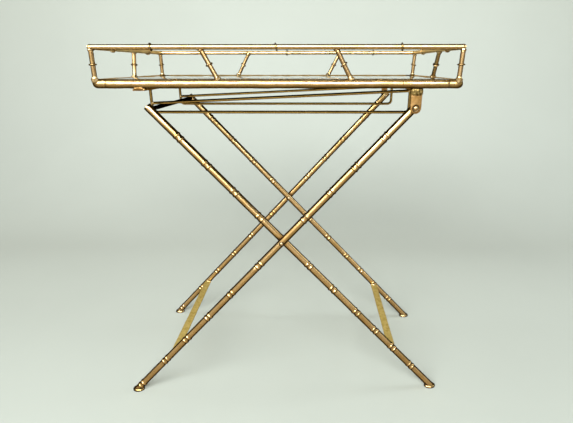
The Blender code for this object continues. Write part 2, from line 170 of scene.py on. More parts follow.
EDGE_TINT = (0.78, 0.62, 0.34)      # what brass reflects where it turns away from the eye
DULL_TINT = (0.42, 0.31, 0.14)      # the same for the legs
DARK_TINT = (0.06, 0.04, 0.015)     # and for the wire and bar, whose upper side has painted shade
MOTTLE_SCALE = 210.0                # spots to a metre, in the colour and the bump of brass
SPECK_SCALE = 1500.0
CREVICE_REACH = 0.004               # metres from a corner over which crevices are darkened: painted shade, with grime
BUMP_HEIGHT = 0.0004


def turned_away(tree, normal):
    """0 where a surface faces the eye, 1 at its outline; a piece with an axis counts only the
    turn around that axis, so a tube seen nearly end-on is not all outline."""
    incoming = add(tree, "ShaderNodeNewGeometry").outputs["Incoming"]
    stored = add(tree, "ShaderNodeAttribute", {"attribute_type": "OBJECT", "attribute_name": "axis"})
    axis = add(tree, "ShaderNodeVectorTransform", {
        "vector_type": "VECTOR", "convert_from": "OBJECT", "convert_to": "WORLD"},
        {0: stored.outputs["Vector"]}).outputs[0]
    along = dot(tree, incoming, axis)
    across = calculate(tree, "SUBTRACT", 1.0, calculate(tree, "MULTIPLY", along, along))
    across = calculate(tree, "SQRT", calculate(tree, "MAXIMUM", across, 0.01))
    toward = calculate(tree, "ABSOLUTE", dot(tree, incoming, normal))
    return calculate(tree, "SUBTRACT", 1.0, calculate(tree, "DIVIDE", toward, across))


def brass(name, bright, dull, dark, roughness, patch_scale=26.0, patch=(0.44, 0.66), dent=0.25,
          outline_shade=0.92, outline=(0.20, 0.52), grime_and_shade=0.9, top_shade=0.0, metal=1.0, tint=EDGE_TINT,
          under_shade=0.0, tray_shade=0.0):
    """Worn brass: dull patches over bright metal and small dents, with painted shade: dark outlines,
    crevices darkened by ambient occlusion (painted shade, with grime), and darker sides.

    The top, under and tray arguments paint shade on the upper side, on the lower side, and on the
    upper side near the tray. Each is between 0 and 1. metal below 1 makes a duller brass that looks
    paler.
    """
    material = blank_material(name)
    tree = material.node_tree
    coordinates = add(tree, "ShaderNodeTexCoord")
    place = coordinates.outputs["Object"]
    up = height_of(tree, coordinates.outputs["Normal"])
    patches = spread(tree, noise_value(tree, place, patch_scale, 6.0, 0.6), *patch)
    mottle = noise_value(tree, place, MOTTLE_SCALE, 5.0)
    speck = noise_value(tree, place, SPECK_SCALE, 3.0)
    base = blend_colours(tree, patches, solid(bright), solid(dull))
    streak = spread(tree, mottle, 0.35, 0.7, 0.0, 0.45)
    base = blend_colours(tree, streak, base, solid(dull))
    normal = add(tree, "ShaderNodeNewGeometry").outputs["Normal"]
    # Painted shade: the colour turns dark towards each outline, where the surface turns away from the
    # eye.
    edge = spread(tree, turned_away(tree, normal), *outline, 0.0, outline_shade)
    base = blend_colours(tree, edge, base, solid(dark))
    # Painted shade on the upper side: a dark reflection of the tray's underside.
    if top_shade:
        base = blend_colours(tree, spread(tree, up, -0.20, 0.15, 0.0, top_shade), base, solid(dark))
    # Painted shade on the lower side: a dark reflection of the floor.
    if under_shade:
        base = blend_colours(tree, spread(tree, up, -0.75, -0.15, under_shade, 0.0), base, solid(dark))
    # Painted shade on the upper side of the legs near the tray: a dark reflection of the tray above.
    if tray_shade:
        near_tray = spread(tree, height_of(tree, place), 0.30, 0.47, 0.0, tray_shade)
        tray_shade_mask = calculate(tree, "MULTIPLY", near_tray, spread(tree, up, 0.30, 0.50))
        base = blend_colours(tree, tray_shade_mask, base, solid(dark))
    # Ambient occlusion darkens crevices: painted shade, with grime.
    open_air = add(tree, "ShaderNodeAmbientOcclusion", {"samples": 8}, {"Distance": CREVICE_REACH})
    crevice = spread(tree, open_air.outputs["AO"], 0.35, 0.85, grime_and_shade, 0.0)
    base = blend_colours(tree, crevice, base, solid(dark))
    rough = spread(tree, patches, 0.0, 1.0, roughness, roughness + 0.10)
    rough = calculate(tree, "ADD", rough, spread(tree, speck, 0.3, 0.8, -0.03, 0.06))
    rough = calculate(tree, "ADD", rough, spread(tree, crevice, 0.0, 1.0, 0.0, 0.20))
    height = calculate(tree, "ADD", mottle, calculate(tree, "MULTIPLY", speck, 0.25))
    bump = add(tree, "ShaderNodeBump", None, {
        "Strength": dent, "Distance": BUMP_HEIGHT, "Height": height})
    shader = add(tree, "ShaderNodeBsdfPrincipled", None, {
        "Base Color": base, "Metallic": metal, "Roughness": rough, "Specular Tint": solid(tint),
        "Normal": bump.outputs["Normal"]})
    surface(tree, shader)
    return material


def glass(name):
    """Clear plate glass, greener where its cut edge shows."""
    material = blank_material(name)
    tree = material.node_tree
    up = height_of(tree, add(tree, "ShaderNodeNewGeometry").outputs["Normal"])
    face = spread(tree, calculate(tree, "ABSOLUTE", up), 0.3, 0.9)
    tint = blend_colours(tree, face, solid((0.42, 0.72, 0.58)), solid((0.93, 0.985, 0.955)))
    shader = add(tree, "ShaderNodeBsdfPrincipled", None, {
        "Base Color": tint, "Roughness": 0.0, "IOR": 1.5, "Transmission Weight": 1.0})
    surface(tree, shader)
    return material


LEG_BRASS = brass("leg_brass", (0.94, 0.68, 0.34), (0.68, 0.45, 0.17), (0.036, 0.022, 0.003), 0.22,
                  outline_shade=0.96, outline=(0.12, 0.31), tint=DULL_TINT, tray_shade=0.95)
TUBE_BRASS = brass("tube_brass", (0.88, 0.64, 0.31), (0.64, 0.43, 0.17), (0.055, 0.032, 0.005), 0.24,
                   patch_scale=34.0, dent=0.35, outline=(0.24, 0.55), under_shade=0.75)
RAIL_BRASS = brass("rail_brass", (0.88, 0.66, 0.36), (0.62, 0.43, 0.19), (0.060, 0.036, 0.010), 0.20)
# Lighter copies of the rail and tube brass for the side rails and far tubes, with weaker painted outline
# shade: painted light.
SIDE_BRASS = brass("side_brass", (0.84, 0.68, 0.33), (0.62, 0.47, 0.20), (0.26, 0.19, 0.07), 0.30,
                   outline_shade=0.35, metal=0.55)
FAR_BRASS = brass("far_brass", (0.88, 0.66, 0.32), (0.66, 0.46, 0.18), (0.20, 0.14, 0.045), 0.26,
                  patch_scale=34.0, dent=0.35, outline_shade=0.45, metal=0.75)
# Darker copies of the rail brass for the posts and rings: painted shade.
POST_BRASS = brass("post_brass", (0.54, 0.38, 0.19), (0.38, 0.25, 0.10), (0.050, 0.030, 0.008), 0.26)
RING_BRASS = brass("ring_brass", (0.70, 0.50, 0.26), (0.44, 0.29, 0.11), (0.030, 0.018, 0.005), 0.22,
                   outline_shade=0.95, outline=(0.12, 0.42))
RAW_BRASS = brass("raw_brass", (0.90, 0.74, 0.27), (0.62, 0.47, 0.12), (0.16, 0.10, 0.015), 0.42,
                  patch_scale=120.0, dent=0.6, outline_shade=0.5, metal=0.35)
WIRE_BRASS = brass("wire_brass", (0.88, 0.60, 0.19), (0.64, 0.42, 0.12), (0.010, 0.007, 0.002), 0.26,
                   top_shade=0.98, tint=DARK_TINT)
# Near-black brass: painted shade for the slide bar under the tray; the washers share it.
BAR_BRASS = brass("bar_brass", (0.09, 0.06, 0.02), (0.05, 0.032, 0.01), (0.006, 0.004, 0.002), 0.34,
                  top_shade=0.98, tint=DARK_TINT)
EAR_BRASS = brass("ear_brass", (0.64, 0.40, 0.16), (0.38, 0.22, 0.07), (0.050, 0.030, 0.008), 0.30,
                  patch_scale=150.0, patch=(0.40, 0.62), dent=0.6, outline_shade=0.3)
EAR_SOLDER = brass("ear_solder", (0.56, 0.42, 0.16), (0.10, 0.070, 0.022), (0.04, 0.026, 0.008), 0.26,
                   patch_scale=330.0, patch=(0.40, 0.58), dent=1.6)
SOLDER = brass("solder_brass", (0.92, 0.72, 0.40), (0.64, 0.46, 0.20), (0.10, 0.060, 0.012), 0.24,
               patch_scale=150.0, dent=0.7, outline_shade=0.6)
RIVET_BRASS = brass("rivet_brass", (0.92, 0.76, 0.50), (0.66, 0.48, 0.24), (0.05, 0.03, 0.01), 0.24,
                    outline_shade=0.35, outline=(0.45, 0.80))
# Painted shadow: the dark ring round each rivet head.
SKIRT_SHADOW_BRASS = brass("skirt_shadow_brass", (0.22, 0.15, 0.07), (0.12, 0.08, 0.04), (0.02, 0.012, 0.005), 0.35)
CLEAR_GLASS = glass("clear_glass")


# Mesh helpers

def publish(item, material, slot, body, *replaced):
    """Link a piece, give it its finish and its body, and hide the nodes it stands for."""
    bpy.context.scene.collection.objects.link(item)
    item.data.materials.append(material)
    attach(item, body)
    if replaced:
        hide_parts(*replaced)
    return item


def along_axis(item, axis):
    """Store the direction in which a tube runs, for the painted outline shade of its brass."""
    item["axis"] = [component / axis.length for component in axis]
    return item


def shade(mesh, sharp_degrees=42):
    mesh.shade_smooth()
    mesh.set_sharp_from_angle(angle=radians(sharp_degrees))


def skin(name, rings, closed=False):
    """A surface through rings of points; it is capped at both ends, or closed on itself."""
    shape = bmesh.new()
    rows = [[shape.verts.new(point) for point in ring] for ring in rings]
    pairs = list(zip(rows, rows[1:]))
    if closed:
        pairs.append((rows[-1], rows[0]))
    count = len(rows[0])
    for first, second in pairs:
        for index in range(count):
            after = (index + 1) % count
            shape.faces.new((first[index], first[after], second[after], second[index]))
    if not closed:
        shape.faces.new(rows[0])
        shape.faces.new(rows[-1])
    bmesh.ops.recalc_face_normals(shape, faces=shape.faces)
    mesh = bpy.data.meshes.new(name)
    shape.to_mesh(mesh)
    shape.free()
    shade(mesh)
    return bpy.data.objects.new(name, mesh)


def cross_axes(axis):
    """Two directions across an axis, so that both and the axis are right-handed."""
    helper = Z if abs(axis.z) < 0.9 * axis.length and abs(axis.y) > 0.9 * axis.length else Y
    first = (helper - axis * helper.dot(axis)).normalized()
    return first, axis.cross(first)


def turned_rings(base, axis, profile, count=ROUND):
    """Rings around an axis; profile is (distance along it, radius, tilt, tilt direction)."""
    axis = axis.normalized()
    first, second = cross_axes(axis)
    rings = []
    for along, radius, tilt, phase in profile:
        ring = []
        for index in range(count):
            angle = 2 * pi * index / count
            out = first * cos(angle) + second * sin(angle)
            ring.append(base + axis * (along + tilt * cos(angle - phase)) + out * radius)
        rings.append(ring)
    return rings


def turn(name, base, axis, profile, closed=False, count=ROUND):
    return skin(name, turned_rings(base, axis, profile, count), closed)


def flat(profile):
    return [(along, radius, 0.0, 0.0) for along, radius in profile]


def plain_stations(start, end, step=FINE_STEP):
    count = max(2, round((end - start) / step) + 1)
    return [start + (end - start) * index / (count - 1) for index in range(count)]


def bamboo_side(start, end, radius, nodes, seed):
    """Outer side of a faux-bamboo tube, bottom to top, with two beads at each node."""
    dice = Random(seed)
    beads = []
    for node in sorted(nodes):
        for offset in (-BEAD_SPACING / 2, BEAD_SPACING / 2):
            centre = node + offset + dice.uniform(-BEAD_JITTER, BEAD_JITTER)
            height = BEAD_HEIGHT * dice.uniform(0.85, 1.15)
            beads.append((centre, height, dice.uniform(0.0, 0.0006), dice.uniform(0, 2 * pi)))
    side = []
    clear = BEAD_HALF_WIDTH * 1.7
    for along in plain_stations(start, end):
        if all(abs(along - bead[0]) > clear for bead in beads):
            wander = 0.012 * noise.noise(Vector((along * 40, seed, 0)))
            side.append((along, radius * (1 + wander), 0.0, 0.0))
    for centre, height, tilt, phase in beads:
        dip = BEAD_HALF_WIDTH * 1.35
        side.append((centre - dip, radius - BEAD_DIP, tilt, phase))
        side.append((centre + dip, radius - BEAD_DIP, tilt, phase))
        for step in range(-4, 5):
            across = step / 4
            rise = height * (1 - across * across) ** 0.65
            side.append((centre + across * BEAD_HALF_WIDTH, radius + rise, tilt, phase))
    return sorted(side)


def dented(point, amount, scale):
    """How far a hand-hammered surface stands out at a point."""
    coarse = noise.noise(Vector(point) * scale)
    fine = noise.noise(Vector(point) * scale * 2.7 + Vector((7, 3, 1)))
    return amount * (coarse + 0.4 * fine)


def hammer(item, dents):
    """Move each vertex along its normal, so the surface has the dents of beaten tube."""
    mesh = item.data
    amount, scale = dents
    normals = [vertex.normal.copy() for vertex in mesh.vertices]
    for vertex, normal in zip(mesh.vertices, normals):
        vertex.co += normal * dented(vertex.co, amount, scale)
    mesh.update()
    return item


def sweep(name, path, radius, count=24):
    """A round wire along a path, its rings carried without twist."""
    rings = []
    first = None
    for index, point in enumerate(path):
        before = path[max(index - 1, 0)]
        after = path[min(index + 1, len(path) - 1)]
        along = (after - before).normalized()
        if first is None:
            first, second = cross_axes(along)
        first = (first - along * first.dot(along)).normalized()
        second = along.cross(first)
        angles = [2 * pi * index / count for index in range(count)]
        rings.append([point + (first * cos(a) + second * sin(a)) * radius for a in angles])
    return skin(name, rings)


def arc(centre, radius, start, end, steps, across, up):
    points = []
    for index in range(steps + 1):
        angle = start + (end - start) * index / steps
        points.append(centre + across * (radius * cos(angle)) + up * (radius * sin(angle)))
    return points


def straight(start, end, step=0.006):
    count = max(2, round((end - start).length / step))
    return [start.lerp(end, index / count) for index in range(count + 1)]


def torus(name, centre, axis, major, minor, tilt=0.0, phase=0.0):
    """A wire ring around an axis; tilt leans it like a hand-wound ring."""
    first, second = cross_axes(axis)
    lean = Matrix.Rotation(tilt, 3, first * cos(phase) + second * sin(phase))
    rings = []
    for index in range(32):
        angle = 2 * pi * index / 32
        out = first * cos(angle) + second * sin(angle)
        ring = []
        for step in range(12):
            around = 2 * pi * step / 12
            point = out * (major + minor * cos(around)) + axis * (minor * sin(around))
            ring.append(centre + lean @ point)
        rings.append(ring)
    return skin(name, rings, closed=True)


def blob(name, centre, radii, seed, rough=0.18):
    """A small uneven lump of solder."""
    shape = bmesh.new()
    bmesh.ops.create_icosphere(shape, subdivisions=4, radius=1.0)
    for vertex in shape.verts:
        point = vertex.co.copy()
        swell = 1 + rough * noise.noise(point * 1.6 + Vector((seed * 3.1, seed, 0)))
        vertex.co = centre + Vector([point[k] * radii[k] * swell for k in range(3)])
    mesh = bpy.data.meshes.new(name)
    shape.to_mesh(mesh)
    shape.free()
    mesh.shade_smooth()
    return bpy.data.objects.new(name, mesh)


def collar(name, base, axis, radius, flare, height, sink, seed):
    """A concave fillet of solder around a rod where it meets another piece."""
    steps = 8
    profile = [(-sink, radius + flare * 0.8), (-sink * 0.4, radius + flare * 1.02)]
    for index in range(steps + 1):
        part = index / steps
        profile.append((height * part, radius + 0.00012 + flare * (1 - sqrt(1 - (1 - part) ** 2))))
    item = turn(name, base, axis, flat(profile), count=28)
    for vertex in item.data.vertices:
        away = vertex.co - base
        across = away - axis * away.dot(axis)
        lump = 1 + 0.16 * noise.noise(vertex.co * 420 + Vector((seed, 2 * seed, 0)))
        vertex.co = base + axis * away.dot(axis) + across * max(lump, 0.94)
    return item


def rounded_bar(name, start, end, wide, width, thickness, corner=0.0006, waver=0.0, seed=0):
    """A flat bar from start to end; wide is the direction of its width."""
    along = (end - start).normalized()
    thick = along.cross(wide)
    half = (width / 2, thickness / 2)
    small = (width / 2 - corner, thickness / 2 - corner)
    places = [start + along * at for at in plain_stations(0, (end - start).length, 0.008)]
    places[0] = start + along * corner
    places[-1] = end - along * corner
    rings = [flat_ring(start, wide, thick, *small, corner)]
    rings += [flat_ring(place, wide, thick, *half, corner) for place in places]
    rings.append(flat_ring(end, wide, thick, *small, corner))
    item = skin(name, rings)
    if waver:
        for vertex in item.data.vertices:
            vertex.co += wide * waver * noise.noise(vertex.co * 60 + Vector((seed, 0, 0)))
            vertex.co += thick * waver * noise.noise(vertex.co * 45 + Vector((0, seed, 5)))
    return item


# Signs and start angle of each rounded corner of a rectangle, in order around it
QUARTERS = ((1, 1, 0), (-1, 1, pi / 2), (-1, -1, pi), (1, -1, 3 * pi / 2))


def flat_ring(centre, wide, thick, half_width, half_thickness, corner):
    """A rectangle with rounded corners, as a ring of points."""
    corner = min(corner, half_width, half_thickness) * 0.98
    ring = []
    for w_sign, t_sign, start in QUARTERS:
        across = wide * (w_sign * (half_width - corner))
        through = thick * (t_sign * (half_thickness - corner))
        ring += arc(centre + across + through, corner, start, start + pi / 2, 3, wide, thick)
    return ring


# Tray frame

SEAM_DEPTH = 0.00022
SEAM_CLEAR = 0.0024          # no other rings this near a seam
SEAM = ((-0.0016, 0.6), (-0.0006, 0.3), (0.0, -1.0), (0.0006, 0.3), (0.0016, 0.6))


def frame_tube(node, axis, finish, seams=()):
    low = low_corner(node)
    high = high_corner(node)
    centre = middle(node)
    half = (high - low).dot(axis) / 2
    side = []
    end = half - 0.0008
    for along in plain_stations(-end, end, 0.003):
        if all(abs(along - seam) > SEAM_CLEAR for seam in seams):
            side.append((along, TUBE_RADIUS))
    for seam in seams:
        side += [(seam + offset, TUBE_RADIUS + SEAM_DEPTH * rise) for offset, rise in SEAM]
    inner = TUBE_RADIUS - TUBE_WALL
    profile = [(-half, TUBE_RADIUS - CHAMFER)] + sorted(side)
    profile += [(half, TUBE_RADIUS - CHAMFER), (half, inner), (-half, inner)]
    item = turn("fine_" + node, centre, axis, flat(profile), closed=True, count=48)
    publish(hammer(along_axis(item, axis), TUBE_DENTS), finish, "aged_brass", "tray", node)


ELBOW_RADIUS = 0.0080        # of the middle of a bent corner tube


def frame_elbow(row, side):
    """A bent corner tube between two straight ones."""
    node = "tray_elbow_" + row + "_" + side
    corner = Vector((middle("tray_tube_" + side).x, middle("tray_tube_" + row).y, middle(node).z))
    into_x = -1 if side == "right" else 1
    into_y = -1 if row == "rear" else 1
    low = low_corner(node)
    high = high_corner(node)
    start_x = low.x if side == "right" else high.x
    start_y = low.y if row == "rear" else high.y
    centre = corner + Vector((into_x * ELBOW_RADIUS, into_y * ELBOW_RADIUS, 0))
    bend_x = Vector((centre.x, corner.y, corner.z))
    bend_y = Vector((corner.x, centre.y, corner.z))
    path = straight(Vector((start_x, corner.y, corner.z)), bend_x, 0.002)[:-1]
    path += arc(centre, ELBOW_RADIUS, 0, pi / 2, 14, Vector((0, -into_y, 0)), Vector((-into_x, 0, 0)))
    path += straight(bend_y, Vector((corner.x, start_y, corner.z)), 0.002)[1:]
    item = sweep("fine_" + node, path, TUBE_RADIUS, 48)
    publish(hammer(item, TUBE_DENTS), TUBE_BRASS, "aged_brass", "tray", node)


# Gallery

THIN_RING = 0.0012           # radius of a gallery ring's wire
SPINDLE_LEAN = 0.0106        # half the lean of a front or rear spindle along X
LEFT_LEAN = 0.005            # half the lean of a side spindle along Y
RIGHT_LEAN = 0.0125
POST_LEAN = 0.0012           # of each right-hand corner post's foot, inward
CORNER_SOLDER = (0.0043, 0.0043, 0.0041)
FOOT_FILLET = (0.0019, 0.0034)          # width and height
HEAD_FILLET_HEIGHT = 0.0022
POST_JOINT = (0.0050, 0.0007, 0.0014)   # sink of the foot, fillet and sink of the head
SPINDLE_JOINT = (0.0026, 0.0011, 0.0042)


def gallery_ring(name, centre, axis, radius, dice):
    tilt = dice.uniform(0.04, 0.22)
    item = torus("ring_" + name, centre, axis, radius + 0.0010, THIN_RING, tilt, dice.uniform(0, 2 * pi))
    publish(item, RING_BRASS, "rail_brass", "tray")


def gallery_rail(side, axis, inward, finish, ring_places, dice):
    """A top rail whose ends are cut at 45 degrees, with its rings."""
    node = "gallery_rail_" + side
    centre = middle(node)
    half = (high_corner(node) - low_corner(node)).dot(axis) / 2 - RAIL_RADIUS
    stations = plain_stations(-half + 2 * RAIL_RADIUS, half - 2 * RAIL_RADIUS, 0.008)
    rings = turned_rings(centre, axis, flat([(at, RAIL_RADIUS) for at in stations]))
    ends = []
    for sign, ring in ((-1, rings[0]), (1, rings[-1])):
        end = []
        for point in ring:
            out = point - centre - axis * (point - centre).dot(axis)
            end.append(centre + out + axis * (sign * (half - out.dot(inward))))
        ends.append(end)
    item = skin("fine_" + node, [ends[0]] + rings + [ends[1]])
    publish(hammer(along_axis(item, axis), RAIL_DENTS), finish, "rail_brass", "tray", node)
    for number, place in enumerate(ring_places):
        gallery_ring(side + "_" + str(number + 1), centre + axis * place, axis, RAIL_RADIUS, dice)


def upright(name, node, foot, head, joint, dice):
    """A post or spindle from the lower tube to the rail, soldered at both ends."""
    foot_sink, head_flare, head_sink = joint
    axis = (head - foot).normalized()
    length = (head - foot).length
    profile = [(at, POST_RADIUS) for at in plain_stations(-foot_sink, length + 0.0012, 0.003)]
    item = turn("fine_" + node, foot, axis, flat(profile), count=32)
    publish(hammer(along_axis(item, axis), POST_DENTS), POST_BRASS, "rail_brass", "tray", node)
    gallery_ring(name, (foot + head) / 2, axis, POST_RADIUS, dice)
    low = collar("solder_foot_" + name, foot, axis, POST_RADIUS, *FOOT_FILLET, foot_sink,
                 dice.uniform(1, 9))
    publish(low, SOLDER, "rail_brass", "tray")
    top = collar("solder_head_" + name, head, -axis, POST_RADIUS, head_flare, HEAD_FILLET_HEIGHT,
                 head_sink, dice.uniform(1, 9))
    publish(top, RAIL_BRASS, "rail_brass", "tray")


def gallery():
    dice = Random(11)
    long_third = (high_corner("gallery_rail_front") - low_corner("gallery_rail_front")).x / 3
    short_quarter = (high_corner("gallery_rail_left") - low_corner("gallery_rail_left")).y / 4
    gallery_rail("front", X, Y, RAIL_BRASS, (-long_third, 0, long_third), dice)
    gallery_rail("rear", X, -Y, RAIL_BRASS, (-long_third, 0, long_third), dice)
    gallery_rail("left", Y, X, SIDE_BRASS, (-short_quarter, short_quarter), dice)
    gallery_rail("right", Y, -X, SIDE_BRASS, (-short_quarter, short_quarter), dice)
    for row in ("front", "rear"):
        for side in ("left", "right"):
            place = row + "_" + side
            corner = Vector((middle("gallery_rail_" + side).x, middle("gallery_rail_" + row).y,
                             middle("gallery_rail_" + row).z))
            lump = blob("solder_corner_" + place, corner, CORNER_SOLDER, dice.uniform(1, 9), 0.10)
            publish(lump, RAIL_BRASS, "rail_brass", "tray")
            node = "gallery_post_" + place
            at = middle(node)
            inset = POST_LEAN if side == "right" else 0.0
            foot = Vector((at.x - inset, at.y, low_corner(node).z))
            head = Vector((at.x + inset / 2, at.y, high_corner(node).z))
            upright("post_" + place, node, foot, head, POST_JOINT, dice)
    leans = {
        "front_left": Vector((-SPINDLE_LEAN, 0, 0)), "front_right": Vector((-SPINDLE_LEAN, 0, 0)),
        "rear_left": Vector((SPINDLE_LEAN, 0, 0)), "rear_right": Vector((SPINDLE_LEAN, 0, 0)),
        "left": Vector((0, LEFT_LEAN, 0)), "right": Vector((0, -RIGHT_LEAN, 0)),
    }
    for place, lean in leans.items():
        node = "gallery_spindle_" + place
        centre = middle(node)
        half_rise = Vector((0, 0, high_corner(node).z - centre.z))
        half_line = lean + half_rise
        upright("spindle_" + place, node, centre - half_line, centre + half_line, SPINDLE_JOINT, dice)


# Glass and ledges

def glass_top():
    low = low_corner("glass_top")
    high = high_corner("glass_top")
    centre = (low + high) / 2
    corner = 0.005
    bevel = 0.0008
    rings = []
    for z, inset in ((low.z, bevel), (low.z + bevel * 0.3, bevel * 0.3), (low.z + bevel, 0),
                     (high.z - bevel, 0), (high.z - bevel * 0.3, bevel * 0.3), (high.z, bevel)):
        half = Vector(((high.x - low.x) / 2 - inset, (high.y - low.y) / 2 - inset, 0))
        ring = []
        for x_sign, y_sign, start in QUARTERS:
            x = centre.x + x_sign * (half.x - corner)
            y = centre.y + y_sign * (half.y - corner)
            ring += arc(Vector((x, y, z)), corner, start, start + pi / 2, 8, X, Y)
        rings.append(ring)
    publish(skin("glass_panel", rings), CLEAR_GLASS, "clear_glass", "tray", "glass_top")


def node_bar(node, axis, material, slot, body, extra=0.0, waver=0.0002):
    """A rounded flat bar in the place of a CAD strip that runs along axis."""
    low = low_corner(node)
    high = high_corner(node)
    centre = (low + high) / 2
    size = high - low
    half = axis * (size.dot(axis) / 2 + extra)
    wide = Y if axis == X else X
    item = rounded_bar("fine_" + node, centre - half, centre + half, wide, size.dot(wide), size.z,
                       waver=waver)
    publish(item, material, slot, body, node)


# Straps, ears and guides

FRONT_EAR_RADIUS = 0.0083
REAR_EAR_RADIUS = 0.0062
EAR_THICKNESS = 0.0025


def strap_half(ear_radius, ear_y, strap_z, half_width):
    """Stations from an ear's tip up round the bend and in to the middle of the strap."""
    bend = 0.0032
    shoulder = min(ear_radius + 0.0006, half_width)
    stations = []
    for index in range(13):
        angle = -pi / 2 + pi / 2 * index / 12
        width = max(ear_radius * cos(angle), 0.0012)
        stations.append((Vector((0, ear_y, PIVOT.z + ear_radius * sin(angle))), Y, width))
    for point in straight(Vector((0, ear_y, PIVOT.z)), Vector((0, ear_y, strap_z - bend)), 0.004)[1:]:
        stations.append((point, Y, ear_radius))
    turning = Vector((0, ear_y + bend, strap_z - bend))
    for point in arc(turning, bend, pi, pi / 2, 6, Y, Z)[1:]:
        stations.append((point, (turning - point).normalized(), shoulder))
    stations.append((Vector((0, ear_y + bend + 0.004, strap_z)), -Z, half_width))
    for point in straight(Vector((0, ear_y + bend + 0.012, strap_z)), Vector((0, 0, strap_z)), 0.012):
        stations.append((point, -Z, half_width))
    return stations


def hinge_strap():
    """One strip, bent down into an ear at each end, with solder over the bends."""
    low = low_corner("hinge_strap")
    high = high_corner("hinge_strap")
    ear_y = LEG_RADIUS + 0.0003 + EAR_THICKNESS / 2 - middle("outer_leg_front").y
    strap_z = high.z - EAR_THICKNESS / 2
    half_width = (high.x - low.x) / 2
    stations = strap_half(FRONT_EAR_RADIUS, -ear_y, strap_z, half_width)
    for point, thick, width in reversed(strap_half(REAR_EAR_RADIUS, -ear_y, strap_z, half_width)[:-1]):
        stations.append((Vector((0, -point.y, point.z)), Vector((0, -thick.y, thick.z)), width))
    rings = []
    for point, thick, width in stations:
        rings.append(flat_ring(point + X * PIVOT.x, X, thick, width, EAR_THICKNESS / 2, 0.0005))
    publish(skin("fine_hinge_strap", rings), EAR_BRASS, "raw_brass", "tray", "hinge_strap")
    for side, sign, radius in (("front", -1, FRONT_EAR_RADIUS), ("rear", 1, REAR_EAR_RADIUS)):
        centre = Vector((PIVOT.x, sign * (ear_y - 0.0004), high.z - 0.0044))
        radii = (radius + 0.0010, 0.0026, 0.0058)
        publish(slab("solder_ear_" + side, centre, radii, sign + 4), EAR_SOLDER, "raw_brass", "tray")


def slab(name, centre, radii, seed):
    """A rounded block of rough solder."""
    item = blob(name, Vector((0, 0, 0)), (1, 1, 1), 1, 0.0)
    for vertex in item.data.vertices:
        point = vertex.co
        boxed = Vector([abs(c) ** 0.55 * (1 if c > 0 else -1) for c in point])
        lump = 1 + 0.10 * noise.noise(point * 3.2 + Vector((seed, 0, 0)))
        lump += 0.05 * noise.noise(point * 8.0 + Vector((0, seed, 0)))
        vertex.co = centre + Vector([boxed[k] * radii[k] * lump for k in range(3)])
    return item


def wire_guides():
    bend = 0.007
    for number, side in enumerate(("front", "rear")):
        loop = "guide_loop_" + side
        low = low_corner(loop)
        high = high_corner(loop)
        y = middle(loop).y
        left = low.x + WIRE_RADIUS
        right = high.x - WIRE_RADIUS
        bottom = low.z + WIRE_RADIUS
        path = straight(Vector((left, y, high.z)), Vector((left, y, bottom + bend)))[:-1]
        path += arc(Vector((left + bend, y, bottom + bend)), bend, pi, 3 * pi / 2, 10, X, Z)
        path += straight(Vector((left + bend, y, bottom)), Vector((right - bend, y, bottom)))[1:-1]
        path += arc(Vector((right - bend, y, bottom + bend)), bend, 3 * pi / 2, 2 * pi, 10, X, Z)
        path += straight(Vector((right, y, bottom + bend)), Vector((right, y, high.z)))[1:]
        publish(sweep("fine_" + loop, path, WIRE_RADIUS), WIRE_BRASS, "dark_brass", "tray", loop)
        ramp = "guide_ramp_" + side
        start = Vector((low_corner(ramp).x - 0.001, y, low_corner(ramp).z + WIRE_RADIUS))
        end = Vector((high_corner(ramp).x + 0.001, y, high_corner(ramp).z - WIRE_RADIUS))
        item = along_axis(sweep("fine_" + ramp, straight(start, end), WIRE_RADIUS), end - start)
        publish(item, WIRE_BRASS, "dark_brass", "tray", ramp)
        lumps = (
            ("ramp_low", start + X * 0.0002, (0.0030, 0.0026, 0.0028)),
            ("ramp_high", end, (0.0030, 0.0026, 0.0030)),
            ("left_top", Vector((left, y, high.z - 0.0004)), (0.0040, 0.0040, 0.0022)),
            ("right_top", Vector((right, y, high.z - 0.0004)), (0.0040, 0.0040, 0.0022)),
        )
        for name, centre, radii in lumps:
            lump = blob("solder_guide_" + side + "_" + name, centre, radii, number + len(name) * 0.7)
            publish(lump, SOLDER, "dark_brass", "tray")


# Rivets and washers

def domed_rivet(node, dome, skirt, body):
    """A bright round-headed rivet and the low ring that it sits in, coloured dark as painted shadow."""
    low = low_corner(node)
    high = high_corner(node)
    centre = middle(node)
    outward = -Y if centre.y < 0 else Y
    half = (high.y - low.y) / 2
    face = half - 0.0020
    shank = 0.0024
    profile = [(-half + 0.0002, 0.0004), (-half + 0.0003, dome * 0.5), (-half + 0.0010, dome * 0.85),
               (-half + 0.0019, dome), (-half + 0.0021, shank), (face - 0.0004, shank), (face, dome)]
    steps = 10
    for index in range(steps + 1):
        angle = pi / 2 * index / steps
        profile.append((face + 0.0003 + 0.0016 * sin(angle), max(dome * cos(angle), 0.0002)))
    item = turn("fine_" + node, centre, outward, flat(profile), count=36)
    publish(item, RIVET_BRASS, "dark_brass", body, node)
    ring = [(face - 0.0002, shank + 0.0002), (face - 0.0002, skirt), (face + 0.0004, skirt),
            (face + 0.0008, skirt - 0.0004), (face + 0.0008, skirt - 0.0008),
            (face + 0.0003, dome + 0.0004), (face + 0.0003, dome - 0.0006)]
    item = turn("skirt_" + node, centre, outward, flat(ring), closed=True, count=36)
    publish(item, SKIRT_SHADOW_BRASS, "dark_brass", body)


